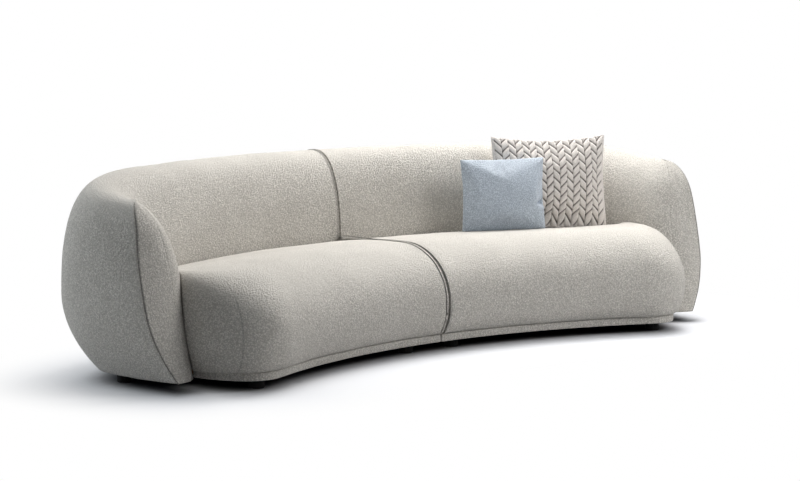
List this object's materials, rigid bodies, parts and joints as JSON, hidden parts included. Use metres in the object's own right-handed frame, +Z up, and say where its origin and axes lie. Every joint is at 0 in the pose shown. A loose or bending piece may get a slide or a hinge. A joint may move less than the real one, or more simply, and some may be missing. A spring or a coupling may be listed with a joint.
{
  "type": "curved modular sofa",
  "caption": "Curved sofa in two modules: a barrel back runs into both arms round a bowed seat on a low set-back plinth, with two loose cushions.",
  "frame": {"origin": "on the floor, under the middle of the whole sofa's bounding box; X = 0 is the joint between the two modules", "axes": "+X towards the right-hand arm as seen by someone facing the sofa's front, +Y towards the back, +Z up"},
  "size_m": [3.1156, 1.2646, 0.8061],
  "materials": {
    "boucle": "pale greige looped boucle, matte",
    "blue_weave": "dusty blue plain weave, matte",
    "plaited_weave": "beige-grey plaited strips, matte",
    "plywood": "raw birch plywood",
    "webbing": "dark elastic webbing",
    "black_cloth": "thin black non-woven cloth",
    "black_foot": "black moulded plastic, matte",
    "steel": "zinc-plated steel, satin"
  },
  "bodies": {
    "left_module": {"left_base_board": "plywood", "left_plinth_pad": "boucle", "left_dust_cover": "black_cloth", "left_seat_front_rail": "plywood", "left_seat_back_rail": "plywood", "left_seat_inner_rail": "plywood", "left_seat_outer_rail": "plywood", "left_seat_webbing": "webbing", "left_seat_cushion": "boucle", "left_back_bottom_rail": "plywood", "left_back_top_rail": "plywood", "left_back_rib_1": "plywood", "left_back_rib_2": "plywood", "left_back_rib_3": "plywood", "left_back_rib_4": "plywood", "left_back_panel": "plywood", "left_back_cushion": "boucle", "left_foot_1": "black_foot", "left_foot_2": "black_foot", "left_foot_3": "black_foot", "left_foot_4": "black_foot", "left_link_bar_front": "steel", "left_link_bar_rear": "steel", "left_link_screw_front_1": "steel", "left_link_screw_front_2": "steel", "left_link_screw_rear_1": "steel", "left_link_screw_rear_2": "steel"},
    "right_module": {"right_base_board": "plywood", "right_plinth_pad": "boucle", "right_dust_cover": "black_cloth", "right_seat_front_rail": "plywood", "right_seat_back_rail": "plywood", "right_seat_inner_rail": "plywood", "right_seat_outer_rail": "plywood", "right_seat_webbing": "webbing", "right_seat_cushion": "boucle", "right_back_bottom_rail": "plywood", "right_back_top_rail": "plywood", "right_back_rib_1": "plywood", "right_back_rib_2": "plywood", "right_back_rib_3": "plywood", "right_back_rib_4": "plywood", "right_back_panel": "plywood", "right_back_cushion": "boucle", "right_foot_1": "black_foot", "right_foot_2": "black_foot", "right_foot_3": "black_foot", "right_foot_4": "black_foot", "right_link_socket_front": "steel", "right_link_socket_rear": "steel", "right_link_screw_front_1": "steel", "right_link_screw_front_2": "steel", "right_link_screw_rear_1": "steel", "right_link_screw_rear_2": "steel"},
    "blue_cushion_body": {"blue_cushion": "blue_weave"},
    "woven_cushion_body": {"woven_cushion": "plaited_weave"}
  },
  "joints": [
    {"name": "right_module_lift", "type": "slide", "parent": "left_module", "child": "right_module", "axis": [0, 0, 1], "range_m": [0, 0.06]},
    {"name": "blue_cushion_lift", "type": "slide", "parent": "right_module", "child": "blue_cushion_body", "axis": [0, 0, 1], "range_m": [0, 0.45]},
    {"name": "woven_cushion_lift", "type": "slide", "parent": "right_module", "child": "woven_cushion_body", "axis": [0.046, 0.0939, 0.9945], "range_m": [0, 0.45]}
  ]
}
